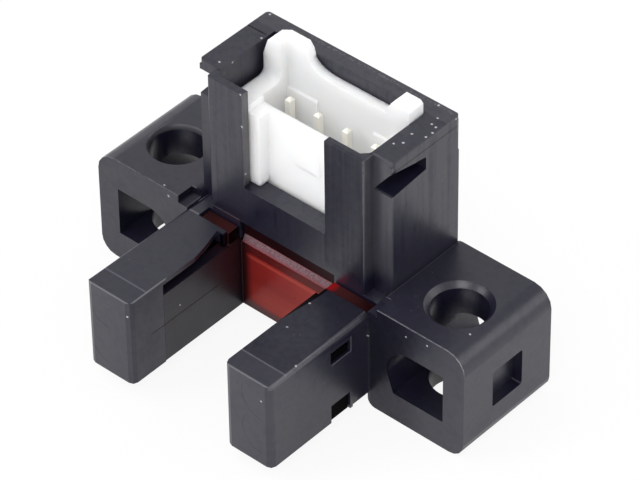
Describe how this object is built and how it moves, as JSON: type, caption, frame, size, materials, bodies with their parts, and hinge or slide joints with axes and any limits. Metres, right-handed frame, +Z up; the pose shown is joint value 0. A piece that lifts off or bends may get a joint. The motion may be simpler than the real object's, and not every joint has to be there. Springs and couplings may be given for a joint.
{
  "type": "slotted optical switch",
  "caption": "Forked photo sensor with a sensing slot between its arms, screw wings at its sides and an upright open header for a cable plug.",
  "frame": {"origin": "middle of the bounding box's footprint, on the plane that the wings stand on", "axes": "+X along the wings, from the emitter's side to the detector's; +Y from the arm tips to the back; +Z up, the way the plug leaves"},
  "size_m": [0.026, 0.0148, 0.0164],
  "materials": {
    "case": "satin black",
    "insert": "clear red",
    "header": "satin white",
    "pin": "plated",
    "board": "coated laminate",
    "lead": "tinned",
    "package": "dark clear resin",
    "chip": "moulded",
    "ceramic": "fired",
    "lamp": "clear resin"
  },
  "bodies": {
    "root": {"outer_case": "case", "red_window": "insert", "connector_shroud": "header", "base_cover": "case", "contact_pin_1": "pin", "contact_pin_2": "pin", "contact_pin_3": "pin", "contact_pin_4": "pin", "circuit_board": "board", "emitter_package": "package", "emitter_lead_1": "lead", "emitter_lead_2": "lead", "detector_package": "package", "detector_lead_1": "lead", "detector_lead_2": "lead", "indicator_led": "lamp", "amplifier_chip": "chip", "output_transistor": "chip", "protection_diode": "chip", "chip_resistor_1": "chip", "chip_resistor_2": "chip", "chip_resistor_3": "chip", "chip_capacitor_1": "ceramic", "chip_capacitor_2": "ceramic"}
  },
  "joints": []
}
